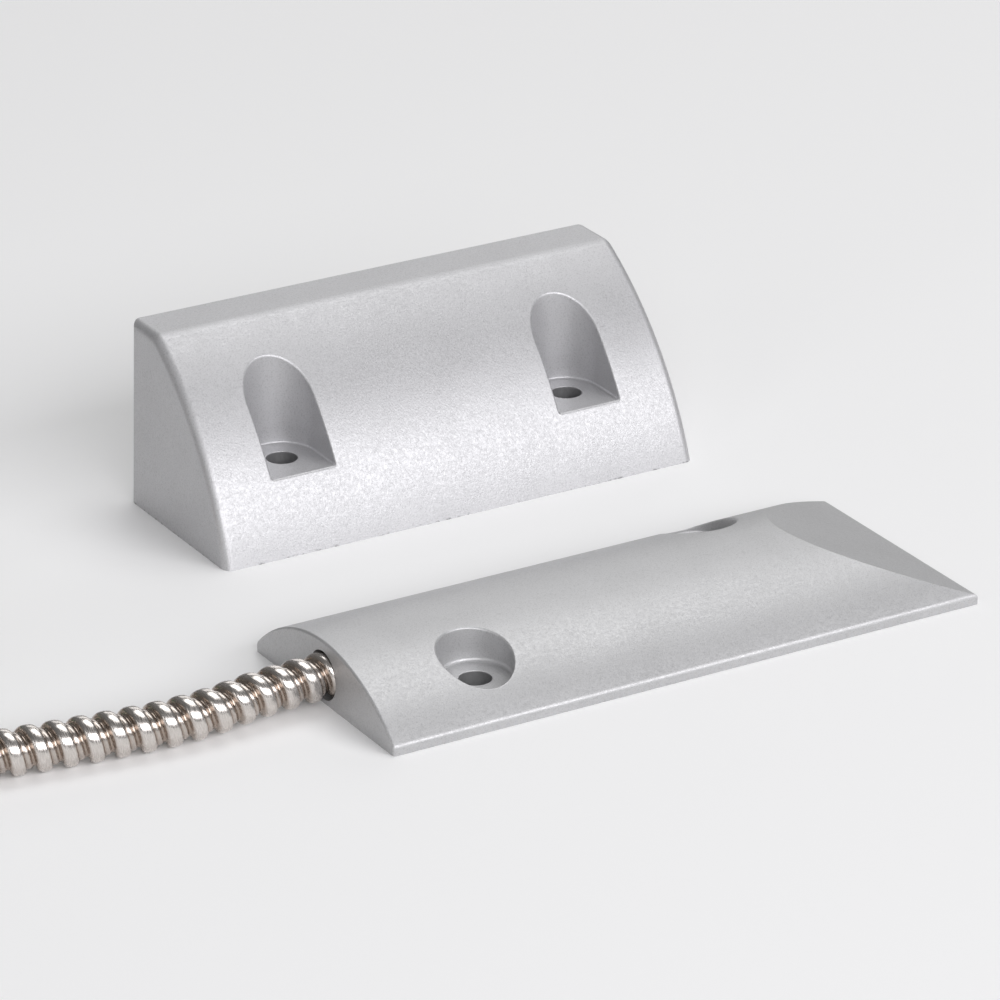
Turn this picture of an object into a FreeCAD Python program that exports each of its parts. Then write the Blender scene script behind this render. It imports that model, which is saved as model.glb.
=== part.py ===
"""Two-piece overhead-door magnetic contact: floor switch with armoured cable, and door magnet.

Frame: millimetres, +Z up.  The origin is the centre of the floor switch's base face.  +X runs
along the switch away from its cable, and the magnet unit stands behind it on the +Y side.
"""
import FreeCAD, Part
import Sketcher
import math
import os
from FreeCAD import Placement, Rotation, Vector

# Driving dimensions.  A value that starts with "=" is worked out from the others.
SIZES = [
    # floor switch housing
    ("switch_long", 105.0), ("switch_wide", 42.6), ("switch_tall", 10.2), ("switch_land", 1.46),
    ("ramp_long", 23.4), ("switch_wall", 1.7), ("side_margin", 2.6), ("end_wall", 3.0),
    ("near_screw_x", -32.7), ("far_screw_x", 21.6), ("screw_y", 11.3), ("screw_bore", 5.0),
    ("seat_wide", 11.7), ("seat_floor", 4.0), ("boss_wall", 1.6), ("edge_round", 0.35),
    ("switch_arc", "=((switch_tall-switch_land)^2+switch_wide^2/4)/(2*(switch_tall-switch_land))"),
    # armoured cable
    ("armour_wide", 7.3), ("cable_high", 4.6), ("cable_slack", 0.3), ("stub_long", 6.0),
    ("coil_radius", 43.5), ("coil_away", 93.5), ("coil_x", "=-switch_long/2-coil_away"), ("coil_y", 48.5),
    ("coil_skin", 0.15), ("coil_gap", 0.1), ("coil_step", "=armour_wide+2*coil_skin+coil_gap"),
    ("coil_end", 20.0), ("coil_climb", 65.0), ("coil_land", 50.0),
    ("tie_thick", 0.8), ("tie_wide", 3.5), ("tie_gap", 0.02),
    ("ferrule_long", 9.0), ("ferrule_wall", 0.55), ("ferrule_lip", 0.2), ("bushing_lip", 0.8),
    ("wire_wide", 1.5), ("core_wide", 0.7), ("wire_pitch", 1.9), ("tip_long", 6.0),
    ("tie_head_long", 3.0), ("tie_head_wide", 5.0), ("tie_head_tall", 5.0),
    # anchor of the armour inside the switch
    ("anchor_thick", 1.2), ("anchor_wide", 11.6), ("anchor_low", 0.4), ("anchor_tall", 7.3),
    ("throat_wide", 6.4), ("throat_flange", 1.0), ("throat_flange_wide", 7.2),
    # reed module
    ("fit_gap", 0.02), ("board_x", -24.0), ("board_long", 38.0),
    ("board_wide", 9.0), ("board_thick", 1.0), ("board_low", 1.8), ("reed_x", -13.0),
    ("reed_high", 5.0), ("glass_long", 20.0), ("glass_wide", 3.2), ("glass_wall", 0.35), ("glass_round", 1.2),
    ("seal_long", 2.5), ("lead_wide", 0.6), ("lead_reach", 3.2), ("blade_wide", 1.4),
    ("blade_thick", 0.2), ("blade_long", 11.5), ("blade_gap", 0.12), ("contact_gap", 0.36),
    ("rest_gap", 0.05), ("contact_long", 4.0), ("tongue_root", 1.0), ("lead_off", 0.6),
    ("solder_wide", 1.3), ("pad_inset", 1.5), ("core_long", 3.0),
    # door magnet housing
    ("magnet_x", 1.0), ("magnet_back", 82.3), ("magnet_long", 87.7), ("magnet_deep", 33.2),
    ("magnet_tall", 31.5), ("magnet_flat", 8.3), ("magnet_round", 56.7), ("magnet_draft", 1.0),
    ("magnet_wall", 2.2), ("pocket_pitch", 53.5), ("pocket_wide", 11.7), ("pocket_floor", 11.5),
    ("pocket_back", 20.6), ("pocket_wall", 2.0), ("magnet_bore", 5.0), ("corner_round", 1.6),
    ("bar_long", 70.0), ("bar_tall", 14.0), ("bar_low", 4.0), ("bar_back", 2.4), ("bar_gap", 0.55),
    ("bar_deep", "=pocket_back-pocket_wide/2-pocket_wall-magnet_wall-bar_back-bar_gap"),
    ("arc_chord", "=sqrt((magnet_deep-magnet_flat)^2+magnet_tall^2)"),
    ("arc_reach", "=sqrt(magnet_round^2-arc_chord^2/4)"),
    ("arc_y", "=arc_reach*magnet_tall/arc_chord-(magnet_deep+magnet_flat)/2"),
    ("arc_z", "=magnet_tall/2-arc_reach*(magnet_deep-magnet_flat)/arc_chord"),
]

doc = FreeCAD.newDocument("door_contact")
sheet = doc.addObject("Spreadsheet::Sheet", "sizes")
for row, (alias, value) in enumerate(SIZES, start=1):
    sheet.set("A%d" % row, alias)
    sheet.set("B%d" % row, str(value))
    sheet.setAlias("B%d" % row, alias)
doc.recompute()
size = {alias: float(sheet.get(alias)) for alias, _ in SIZES}
parts = []


def formula(text):
    """Put the sheet's name before each alias, so that sizes read as plain words below."""
    words = []
    word = ""
    for letter in str(text) + " ":
        if letter.isalnum() or letter == "_":
            word += letter
        else:
            words.append("sizes." + word if word in size else word)
            words.append(letter)
            word = ""
    return "".join(words).strip()


def bind(thing, **sizes):
    for name, text in sizes.items():
        thing.setExpression(name, formula(text))
    return thing


def put(thing, x=0, y=0, z=0, turn=None):
    """Place an object: turn is a fixed rotation, x, y and z follow the sheet."""
    if turn is not None:
        thing.Placement = Placement(Vector(), turn)
    for axis, text in zip("xyz", (x, y, z)):
        thing.setExpression("Placement.Base." + axis, formula(text))
    return thing


ALONG_X = Rotation(Vector(0, 1, 0), 90)
NEAR = 1e-3


def box(name, long, wide, tall, x=0, y=0, z=0):
    """A block centred on x and y, standing on z."""
    thing = bind(doc.addObject("Part::Box", name), Length=long, Width=wide, Height=tall)
    return put(thing, "%s-(%s)/2" % (x, long), "%s-(%s)/2" % (y, wide), z)


def rod(name, wide, tall, x=0, y=0, z=0, turn=None):
    """A cylinder of diameter wide: upright, or along X from x where it is turned."""
    thing = bind(doc.addObject("Part::Cylinder", name), Radius="(%s)/2" % wide, Height=tall)
    return put(thing, x, y, z, turn)


def join(name, shapes):
    thing = doc.addObject("Part::MultiFuse", name)
    thing.Shapes = shapes
    return thing


def common(name, shapes):
    thing = doc.addObject("Part::MultiCommon", name)
    thing.Shapes = shapes
    return thing


def cut(name, base, tool):
    thing = doc.addObject("Part::Cut", name)
    thing.Base = base
    thing.Tool = tool
    return thing


def keep(thing, label):
    """Name a finished sub-part: its label is its file's name."""
    thing.Label = label
    parts.append(thing)
    return thing


def rounded(name, base, radius, wanted):
    """Fillet the edges that wanted(edge) picks, all to one radius."""
    doc.recompute()
    thing = doc.addObject("Part::Fillet", name)
    thing.Base = base
    edges = [(i, radius, radius) for i, edge in enumerate(base.Shape.Edges, start=1) if wanted(edge)]
    if not edges:
        raise RuntimeError("%s finds no edge" % name)
    thing.Edges = edges
    return thing


def body(name, x=0, y=0, z=0, turn=None):
    return put(doc.addObject("PartDesign::Body", name), x, y, z, turn)


def sketch(owner, role):
    """A sketch on one of its own body's origin planes."""
    plane = next(item for item in owner.Origin.OriginFeatures if item.Role == role)
    thing = owner.newObject("Sketcher::SketchObject", owner.Name + "_sketch")
    thing.AttachmentSupport = [(plane, "")]
    thing.MapMode = "FlatFace"
    return thing


def drive(drawing, kind, text, *places):
    """Add one dimension to a sketch and bind it to the sheet."""
    number = drawing.addConstraint(Sketcher.Constraint(kind, *places, 1.0))
    drawing.setExpression("Constraints[%d]" % number, formula(text))


def rectangle(drawing, long, wide, first=(None, None)):
    """A rectangle centred on the sketch's origin, or with its first corner at the given sizes."""
    a, b, c, d = (Vector(0.5, 0.5, 0), Vector(2, 0.5, 0), Vector(2, 2, 0), Vector(0.5, 2, 0))
    start = drawing.GeometryCount
    for one, two in ((a, b), (b, c), (c, d), (d, a)):
        drawing.addGeometry(Part.LineSegment(one, two), False)
    for i in range(4):
        drawing.addConstraint(Sketcher.Constraint("Coincident", start + i, 2, start + (i + 1) % 4, 1))
    for i, kind in enumerate(("Horizontal", "Vertical", "Horizontal", "Vertical")):
        drawing.addConstraint(Sketcher.Constraint(kind, start + i))
    drive(drawing, "DistanceX", long, start, 1, start, 2)
    drive(drawing, "DistanceY", wide, start + 1, 1, start + 1, 2)
    if first[0] is None:
        drawing.addConstraint(Sketcher.Constraint("Symmetric", start, 1, start + 1, 2, -1, 1))
    else:
        drive(drawing, "DistanceX", first[0], -1, 1, start, 1)
        drive(drawing, "DistanceY", first[1], -1, 1, start, 1)


def pad(owner, drawing, long):
    thing = owner.newObject("PartDesign::Pad", owner.Name + "_pad")
    thing.Profile = drawing
    bind(thing, Length=long)
    owner.Tip = thing
    return owner


def plate(name, long, wide, thick, role, x=0, y=0, z=0):
    """A plain rectangular plate, padded from the plane that role names."""
    owner = body(name, x, y, z)
    drawing = sketch(owner, role)
    rectangle(drawing, long, wide)
    return pad(owner, drawing, thick)


def turned(name, steps, x=0, y=0, z=0, turn=None):
    """A piece turned about X: steps are its rings as (start, long, low, deep) above the axis."""
    owner = body(name, x, y, z, turn)
    for i, (start, long, low, deep) in enumerate(steps):
        plane = next(item for item in owner.Origin.OriginFeatures if item.Role == "XY_Plane")
        drawing = owner.newObject("Sketcher::SketchObject", "%s_ring_%d" % (name, i))
        drawing.AttachmentSupport = [(plane, "")]
        drawing.MapMode = "FlatFace"
        rectangle(drawing, long, deep, (start, low))
        ring = owner.newObject("PartDesign::Revolution", "%s_turn_%d" % (name, i))
        ring.Profile = drawing
        ring.ReferenceAxis = (drawing, ["H_Axis"])
        ring.Angle = 360
        owner.Tip = ring
    return owner


# Floor switch housing: a block under a long round top, with a ramp at its far end.
def half_round(name, long, wide, drop):
    """A centred block under the switch's round top, with the top lowered by drop."""
    block = box(name + "_block", long, wide, "switch_tall-(%s)" % drop)
    arc = rod(name + "_arc", "2*(switch_arc-(%s))" % drop, long, "-(%s)/2" % long, 0,
              "switch_tall-switch_arc", ALONG_X)
    return common(name, [block, arc])


def above_ramp(name, drop):
    """A block whose lower face is the ramp lowered by drop."""
    slope = math.degrees(math.atan2(size["switch_tall"] - size["switch_land"], size["ramp_long"]))
    thing = doc.addObject("Part::Box", name)
    bind(thing, Length="4*ramp_long", Width="2*switch_wide", Height="2*switch_tall")
    thing.Placement = Placement(Vector(), Rotation(Vector(0, 1, 0), slope))
    thing.setExpression("Placement.Rotation.Angle", formula(
        "atan((switch_tall-switch_land)/ramp_long)"))
    return put(thing, "switch_long/2-2*ramp_long", "-switch_wide",
               "switch_land+2*(switch_tall-switch_land)-(%s)" % drop)


SCREWS = (("near_screw_x", "-screw_y"), ("far_screw_x", "screw_y"))


def at_screws(name, wide, z=0):
    """One upright cylinder on each of the two screws, which stand on a diagonal."""
    rods = [rod("%s_%d" % (name, i), wide, "switch_tall", x, y, z)
            for i, (x, y) in enumerate(SCREWS)]
    return join(name, rods)


switch_solid = cut("switch_solid", half_round("switch_top", "switch_long", "switch_wide", "0"),
                   above_ramp("switch_ramp", "0"))
room_top = half_round("switch_room_top", "switch_long-2*end_wall", "switch_wide-2*side_margin",
                      "switch_wall")
room_ramped = cut("switch_room_ramped", room_top, above_ramp("switch_room_ramp", "switch_wall"))
switch_room = cut("switch_room", room_ramped,
                  at_screws("switch_bosses", "seat_wide+2*boss_wall"))
cable_hole = rod("cable_hole", "armour_wide+2*cable_slack", "2*end_wall",
                 "-switch_long/2-end_wall", 0, "cable_high", ALONG_X)
armour_stub = rod("armour_stub", "armour_wide", "stub_long", "-switch_long/2", 0, "cable_high",
                  ALONG_X)
switch_cuts = join("switch_cuts", [switch_room, cable_hole, armour_stub,
                                   at_screws("screw_bores", "screw_bore"),
                                   at_screws("screw_seats", "seat_wide", "seat_floor")])
switch_shell = cut("switch_shell", switch_solid, switch_cuts)


def at_switch_ends(edge):
    """The curved or level edges where the ends meet the top."""
    room = edge.BoundBox
    at_end = abs(abs(room.XMin) - size["switch_long"] / 2) < NEAR and room.XLength < NEAR
    return at_end and room.YLength > size["switch_wide"] - NEAR and room.ZMax > size["switch_land"] - NEAR


keep(rounded("switch_rounded", switch_shell, size["edge_round"], at_switch_ends), "switch_housing")

# Reed capsule: three leads sealed in a glass tube, and the armature that swings between two tongues.
reed_end = "(reed_x+glass_long)"
glass_core = rod("glass_core", "glass_wide", "glass_long", "reed_x", 0, "reed_high", ALONG_X)
glass_envelope = rounded("glass_envelope", glass_core, size["glass_round"],
                         lambda edge: edge.BoundBox.XLength < NEAR)
glass_room = rod("glass_room", "glass_wide-2*glass_wall", "glass_long-2*seal_long",
                 "reed_x+seal_long", 0, "reed_high", ALONG_X)
reed_leads = {}
for name, start, y in (("open", "reed_x-lead_reach", "-lead_off"),
                       ("closed", "reed_x-lead_reach", "lead_off"),
                       ("common", reed_end + "-seal_long", "0")):
    reed_leads[name] = rod("reed_lead_" + name, "lead_wide", "lead_reach+seal_long", start, y,
                           "reed_high", ALONG_X)
blade_start = "(reed_x+glass_long-seal_long-blade_gap)"
tongue_start = "(reed_x+seal_long-tongue_root)"
tongue_long = "(%s-blade_long+contact_long-%s)" % (blade_start, tongue_start)
tongues = {}
for name, y in (("open", "-blade_thick-contact_gap"), ("closed", "blade_thick+rest_gap")):
    tongues[name] = box("reed_tongue_" + name, tongue_long, "blade_thick", "blade_wide",
                        "%s+%s/2" % (tongue_start, tongue_long), y, "reed_high-blade_wide/2")
    keep(join("reed_" + name, [reed_leads[name], tongues[name]]), "reed_contact_" + name)
keep(reed_leads["common"], "reed_common_lead")
glass_cuts = join("glass_cuts", [glass_room] + list(reed_leads.values()) + list(tongues.values()))
keep(cut("reed_glass_tube", glass_envelope, glass_cuts), "reed_glass")
keep(plate("reed_blade", "blade_thick", "blade_wide", "blade_long", "YZ_Plane",
           "%s-blade_long" % blade_start, 0, "reed_high"), "reed_armature")

# Circuit board, the wires that come to it from the cable, and the solder.
board = keep(plate("board_plate", "board_long", "board_wide", "board_thick", "XY_Plane",
                   "board_x+board_long/2", 0, "board_low"), "reed_board")
board_top = "(board_low+board_thick)"
pad_x = "(board_x+pad_inset)"
wire_start = "(-switch_long/2+stub_long)"
wire_end = "(%s-core_long/2)" % pad_x
WIRES = (("common", "0"), ("open", "-wire_pitch"), ("closed", "wire_pitch"))
inner_wires = []
inner_cores = []
for name, y in WIRES:
    wire = rod("inner_wire_" + name, "wire_wide", "%s-%s" % (wire_end, wire_start), wire_start, y,
               "cable_high", ALONG_X)
    inner_wires.append(keep(wire, "inner_wire_" + name))
    inner_cores.append(rod("inner_core_" + name, "core_wide", "core_long", wire_end, y,
                           "cable_high", ALONG_X))
keep(join("inner_cores", inner_cores), "inner_wire_cores")
solder_places = [(pad_x, y) for _, y in WIRES]
solder_places += [("reed_x-lead_reach/4", "-lead_off"), ("reed_x-lead_reach*3/4", "lead_off"),
                  (reed_end + "+lead_reach/2", "0")]
posts = [rod("solder_post_%d" % i, "solder_wide", "reed_high+lead_wide-" + board_top, x, y,
             board_top) for i, (x, y) in enumerate(solder_places)]
solder_holes = join("solder_holes", inner_cores + list(reed_leads.values()))
keep(cut("solder_cut", join("solder_block", posts), solder_holes), "reed_solder_joints")

# Anchor plate and throat bushing: they keep the armour's end inside the wall.
anchor_x = wire_start
anchor_blank = plate("anchor_blank", "anchor_wide", "anchor_tall", "anchor_thick", "YZ_Plane",
                     anchor_x, 0, "anchor_low+anchor_tall/2")
throat_blank = turned("throat_blank", [("0", "anchor_thick", "0", "throat_wide/2"),
                                       ("anchor_thick", "throat_flange", "0",
                                        "throat_flange_wide/2")], anchor_x, 0, "cable_high")
keep(cut("anchor_cut", anchor_blank, throat_blank), "cable_anchor_plate")
keep(cut("throat_cut", throat_blank, join("throat_wires", inner_wires)), "throat_bushing")

# Potting: fills the switch's room round all that it holds, flush with the base.
buried = join("buried", [glass_envelope, board, anchor_blank, throat_blank, armour_stub] + posts
              + inner_wires + inner_cores + list(reed_leads.values()))
keep(cut("switch_potting_cut", switch_room, buried), "switch_potting")


# Door magnet housing: a drafted block under a quarter-round front, hollow from below.
def wedge(name, long, deep, tall, draft):
    """A block whose back is the magnet's back face and whose ends lean in by draft."""
    thing = doc.addObject("Part::Wedge", name)
    bind(thing, Xmin="0", Xmax=long, X2min=draft, X2max="%s-%s" % (long, draft), Ymin="0",
         Ymax=tall, Zmin="0", Zmax=deep, Z2min="0", Z2max=deep)
    return thing


def quarter_round(name, long, deep, tall, shrink, draft, back):
    block = wedge(name + "_block", long, deep, tall, draft)
    put(block, "magnet_x-(%s)/2" % long, "magnet_back-(%s)" % back, 0, Rotation(Vector(1, 0, 0), 90))
    front = rod(name + "_front", "2*(magnet_round-(%s))" % shrink, "2*magnet_long",
                "magnet_x-magnet_long", "magnet_back+arc_y", "arc_z", ALONG_X)
    return common(name, [block, front])


def at_pockets(name, wide, wall, z, tall):
    """U-shaped columns that open forward, one on each screw of the magnet."""
    shapes = []
    for i, side in enumerate(("-", "+")):
        x = "magnet_x%spocket_pitch/2" % side
        y = "magnet_back-pocket_back"
        shapes.append(rod("%s_end_%d" % (name, i), "%s+2*(%s)" % (wide, wall), tall, x, y, z))
        shapes.append(box("%s_run_%d" % (name, i), "%s+2*(%s)" % (wide, wall), "magnet_deep", tall,
                          x, y + "-magnet_deep/2", z))
    return join(name, shapes)


magnet_block = quarter_round("magnet_block", "magnet_long", "magnet_deep", "magnet_tall", "0",
                             "magnet_draft", "0")


def on_magnet_corners(edge):
    """The outline of each leaning end, without its foot."""
    room = edge.BoundBox
    inset = size["magnet_long"] / 2 - abs(edge.CenterOfMass.x - size["magnet_x"])
    lean = size["magnet_draft"] + NEAR
    return inset < lean and room.XLength < lean and room.ZMax > NEAR


magnet_cornered = rounded("magnet_cornered", magnet_block, size["corner_round"], on_magnet_corners)
magnet_room_top = quarter_round("magnet_room_top", "magnet_long-2*magnet_wall",
                                "magnet_deep-magnet_wall", "magnet_tall-magnet_wall", "magnet_wall",
                                "magnet_draft", "magnet_wall")
magnet_room = cut("magnet_room", magnet_room_top,
                  at_pockets("pocket_walls", "pocket_wide", "pocket_wall", "0", "magnet_tall"))
magnet_pockets = at_pockets("magnet_pockets", "pocket_wide", "0", "pocket_floor", "magnet_tall")
magnet_bores = join("magnet_bores", [
    rod("magnet_bore_%d" % i, "magnet_bore", "magnet_tall", "magnet_x%spocket_pitch/2" % side,
        "magnet_back-pocket_back") for i, side in enumerate(("-", "+"))])
keep(cut("magnet_shell", magnet_cornered, join("magnet_cuts", [magnet_room, magnet_pockets,
                                                              magnet_bores])), "magnet_housing")
magnet_bar = keep(plate("bar_plate", "bar_long", "bar_deep", "bar_tall", "XY_Plane", "magnet_x",
                        "magnet_back-magnet_wall-bar_back-bar_deep/2", "bar_low"), "magnet_bar")
keep(cut("magnet_potting_cut", magnet_room, magnet_bar), "magnet_potting")


# Cords.  The points are chosen by hand: the cable's from the middle of the switch's near end, and
# the leads' from the coil's centre.  The coil's own places follow from its size.
MOUTH = Vector(-size["switch_long"] / 2, 0, 0)
COIL_CENTRE = Vector(size["coil_x"], size["coil_y"], 0)
COIL_ENTRY = COIL_CENTRE + Vector(0, -size["coil_radius"], size["cable_high"])
LOWER = size["cable_high"]
UPPER = size["cable_high"] + size["coil_step"]


def coil_point(angle, high):
    """A point of the coil at an angle from +X, in degrees."""
    turn = math.radians(angle)
    return COIL_CENTRE + Vector(size["coil_radius"] * math.cos(turn),
                                size["coil_radius"] * math.sin(turn), high)


ARMOUR_ROUTE = [(6.0, 0.0, 4.6), (-8.0, 0.0, 4.6), (-22.5, -1.7, 3.75), (-39.0, 0.2, 3.7),
                (-55.5, 2.9, 3.75), (-74.0, 5.0, 4.6)]
LEAD_ROUTES = {
    "common": [(42.25, 11.12, 12.3), (46.35, -0.16, 12.2), (43.0, -11.0, 11.6), (34.5, -18.0, 10.2),
               (25.0, -21.0, 4.4), (16.5, -19.9, 1.0), (8.5, -15.5, 0.85)],
    "open": [(40.46, 10.47, 12.3), (44.56, -0.81, 12.2), (40.4, -9.5, 11.5), (32.0, -14.5, 9.6),
             (22.5, -14.5, 3.8), (14.5, -11.5, 1.0), (7.5, -6.0, 0.85)],
    "closed": [(44.04, 11.77, 12.3), (48.14, 0.49, 12.2), (45.6, -12.5, 11.9), (37.4, -22.1, 11.2),
               (26.5, -26.5, 9.6), (17.0, -28.0, 3.4), (8.5, -26.7, 0.95), (1.5, -23.0, 0.85)],
}
ARC_SHARE = 0.45
FOLD_LIMIT = 0.98


def tube(label, points, wide):
    """A round cord along straight runs joined by arcs as large as the runs allow."""
    edges = []
    start = points[0]
    smallest = None
    for before, here, after in zip(points, points[1:], points[2:]):
        inward = (before - here).normalize()
        outward = (after - here).normalize()
        turn = math.pi - inward.getAngle(outward)
        reach = ARC_SHARE * min((here - before).Length, (after - here).Length)
        radius = reach / math.tan(turn / 2)
        smallest = radius if smallest is None else min(smallest, radius)
        middle = (inward + outward).normalize()
        first = here + inward * reach
        last = here + outward * reach
        crown = here + middle * (radius / math.cos(turn / 2) - radius)
        edges.append(Part.LineSegment(start, first).toShape())
        edges.append(Part.Arc(first, crown, last).toShape())
        start = last
    edges.append(Part.LineSegment(start, points[-1]).toShape())
    path = Part.Wire(edges)
    ring = Part.Wire([Part.makeCircle(wide / 2, points[0], points[1] - points[0])])
    shape = path.makePipeShell([ring], True, True)
    share = shape.Volume / (path.Length * math.pi * wide ** 2 / 4)
    if not FOLD_LIMIT < share < 1 / FOLD_LIMIT:
        raise RuntimeError("%s is folded" % label)
    print("%s: length %.1f, smallest radius %.1f, volume ratio %.4f" % (
        label, path.Length, smallest, share))
    thing = doc.addObject("Part::Feature", label + "_tube")
    thing.Shape = shape
    return keep(thing, label)


tube("armour_run", [MOUTH + Vector(*point) for point in ARMOUR_ROUTE] + [COIL_ENTRY],
     size["armour_wide"])


def ring_arc(first, last, low, high):
    """Part of the coil from one angle to another: its section is a slot from low to high."""
    radius = size["armour_wide"] / 2 + size["coil_skin"]
    foot = Vector(size["coil_radius"], 0, low)
    head = Vector(size["coil_radius"], 0, high)
    side = Vector(radius, 0, 0)
    deep = Vector(0, 0, radius)
    if high > low:
        section = Part.Wire([Part.Arc(foot - side, foot - deep, foot + side).toShape(),
                             Part.LineSegment(foot + side, head + side).toShape(),
                             Part.Arc(head + side, head + deep, head - side).toShape(),
                             Part.LineSegment(head - side, foot - side).toShape()])
    else:
        section = Part.Wire([Part.makeCircle(radius, foot, Vector(0, 1, 0))])
    shape = Part.Face(section).revolve(Vector(), Vector(0, 0, 1), last - first)
    shape.Placement = Placement(COIL_CENTRE, Rotation(Vector(0, 0, 1), first))
    return shape


# The coil is one solid of its outer shape.  It is wound clockwise seen from above: the cable comes
# in at -90 degrees on the floor, climbs on to its own first turn as it comes round there again, and
# a turn and two thirds after it came in it ends on top at coil_end.
coil_pieces = [ring_arc(size["coil_end"], 270.0, LOWER, UPPER),
               ring_arc(-size["coil_land"], size["coil_end"], LOWER, LOWER),
               ring_arc(-90.0, -size["coil_climb"], UPPER, UPPER)]
coil = doc.addObject("Part::Feature", "coil_solid")
coil.Shape = coil_pieces[0].multiFuse(coil_pieces[1:]).removeSplitter()
keep(coil, "armour_coil")


def slot_prism(name, radius):
    """A prism whose section is a slot round both levels of the coil, standing across the cord."""
    turn = Rotation(Vector(1, 0, 0), 90)
    pieces = [rod("%s_end_%d" % (name, i), "2*(%s)" % radius, "tie_wide", 0, "tie_wide/2", z, turn)
              for i, z in enumerate(("cable_high", "cable_high+coil_step"))]
    pieces.append(box(name + "_run", "2*(%s)" % radius, "tie_wide", "coil_step", 0, 0, "cable_high"))
    return join(name, pieces)


def coil_tie(number, angle):
    """A strap round both turns at one place, with its head on the outside."""
    name = "coil_tie_%d" % number
    skin = "armour_wide/2+coil_skin"
    strap = cut(name + "_strap", slot_prism(name + "_outer", skin + "+tie_thick"),
                slot_prism(name + "_inner", skin + "+tie_gap"))
    head = box(name + "_head", "tie_head_long", "tie_head_wide", "tie_head_tall",
               skin + "+tie_thick/2+tie_head_long/2", 0, "cable_high+coil_step/2-tie_head_tall/2")
    whole = join(name, [strap, head])
    whole.Placement = Placement(coil_point(angle, 0), Rotation(Vector(0, 0, 1), angle))
    return whole


keep(join("coil_tie_pair", [coil_tie(1, 180.0), coil_tie(2, 90.0)]), "coil_ties")

# End of the armour: a ferrule, the plastic bushing in it, and three leads with bare tips.
END_TURN = Rotation(Vector(0, 0, 1), size["coil_end"] - 90)
END_POINT = coil_point(size["coil_end"], UPPER)
ferrule_wide = "(armour_wide/2+ferrule_lip)"
keep(turned("ferrule", [("0", "ferrule_long", ferrule_wide + "-ferrule_wall", "ferrule_wall")],
            *END_POINT, END_TURN), "armour_end_ferrule")
bushing_blank = turned("bushing_blank", [("0", "ferrule_long+bushing_lip", "0",
                                          ferrule_wide + "-ferrule_wall")], *END_POINT, END_TURN)
lead_holes = []
lead_tips = []
for name, points in LEAD_ROUTES.items():
    route = [COIL_CENTRE + Vector(*point) for point in points]
    tube("lead_" + name, route, size["wire_wide"])
    hole = bind(doc.addObject("Part::Cylinder", "lead_hole_" + name),
                Radius="wire_wide/2+fit_gap", Height="ferrule_long")
    hole.Placement = Placement(route[0], Rotation(Vector(0, 0, 1), route[1] - route[0]))
    lead_holes.append(hole)
    tip = bind(doc.addObject("Part::Cylinder", "lead_tip_" + name), Radius="core_wide/2",
               Height="tip_long")
    tip.Placement = Placement(route[-1], Rotation(Vector(0, 0, 1), route[-1] - route[-2]))
    lead_tips.append(tip)
keep(cut("bushing_cut", bushing_blank, join("lead_holes", lead_holes)), "armour_end_bushing")
keep(join("lead_tip_group", lead_tips), "lead_tips")

doc.recompute()
faults = ["%s is %s" % (item.Name, state) for item in doc.Objects
          for state in item.State if state in ("Invalid", "Error")]
for part in parts:
    if part.Shape.isNull() or not part.Shape.isValid() or not part.Shape.Solids:
        faults.append("%s has no valid solid" % part.Label)
if faults:
    raise RuntimeError("; ".join(faults))
os.makedirs("parts", exist_ok=True)
for part in parts:
    part.Shape.exportStep("parts/%s.step" % part.Label)
    room = part.Shape.optimalBoundingBox(False)
    print("%-22s solids %d  volume %9.1f  z %6.2f to %6.2f" % (
        part.Label, len(part.Shape.Solids), part.Shape.Volume, room.ZMin, room.ZMax))
print(len(parts), "parts")
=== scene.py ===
"""Looks for a two-piece overhead-door magnetic contact: floor switch, armoured cable, magnet unit."""
import math

import bmesh
import bpy
from mathutils import Matrix, Vector


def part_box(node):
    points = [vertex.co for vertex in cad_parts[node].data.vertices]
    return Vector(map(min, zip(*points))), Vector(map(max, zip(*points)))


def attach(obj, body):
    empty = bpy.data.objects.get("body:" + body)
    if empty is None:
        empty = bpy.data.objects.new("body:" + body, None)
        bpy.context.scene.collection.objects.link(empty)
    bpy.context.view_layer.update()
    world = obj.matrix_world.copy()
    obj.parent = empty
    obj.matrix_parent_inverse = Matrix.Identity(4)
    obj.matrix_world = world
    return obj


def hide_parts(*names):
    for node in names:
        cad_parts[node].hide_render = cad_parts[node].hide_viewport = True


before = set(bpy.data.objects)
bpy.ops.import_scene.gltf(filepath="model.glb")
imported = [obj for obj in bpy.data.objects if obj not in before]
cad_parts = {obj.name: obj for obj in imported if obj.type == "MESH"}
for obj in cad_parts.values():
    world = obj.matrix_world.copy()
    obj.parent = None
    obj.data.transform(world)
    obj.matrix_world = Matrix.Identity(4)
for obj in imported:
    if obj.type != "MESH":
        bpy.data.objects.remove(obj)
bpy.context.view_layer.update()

MM = 0.001

# Camera, in millimetres and degrees.
CAMERA_LENS = 195.3
CAMERA_AIM = Vector((9.0, 51.6, 0.0)) * MM
CAMERA_AWAY = 884.13 * MM
CAMERA_TURN = math.radians(-30.73)
CAMERA_RISE = math.radians(23.7)

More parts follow.
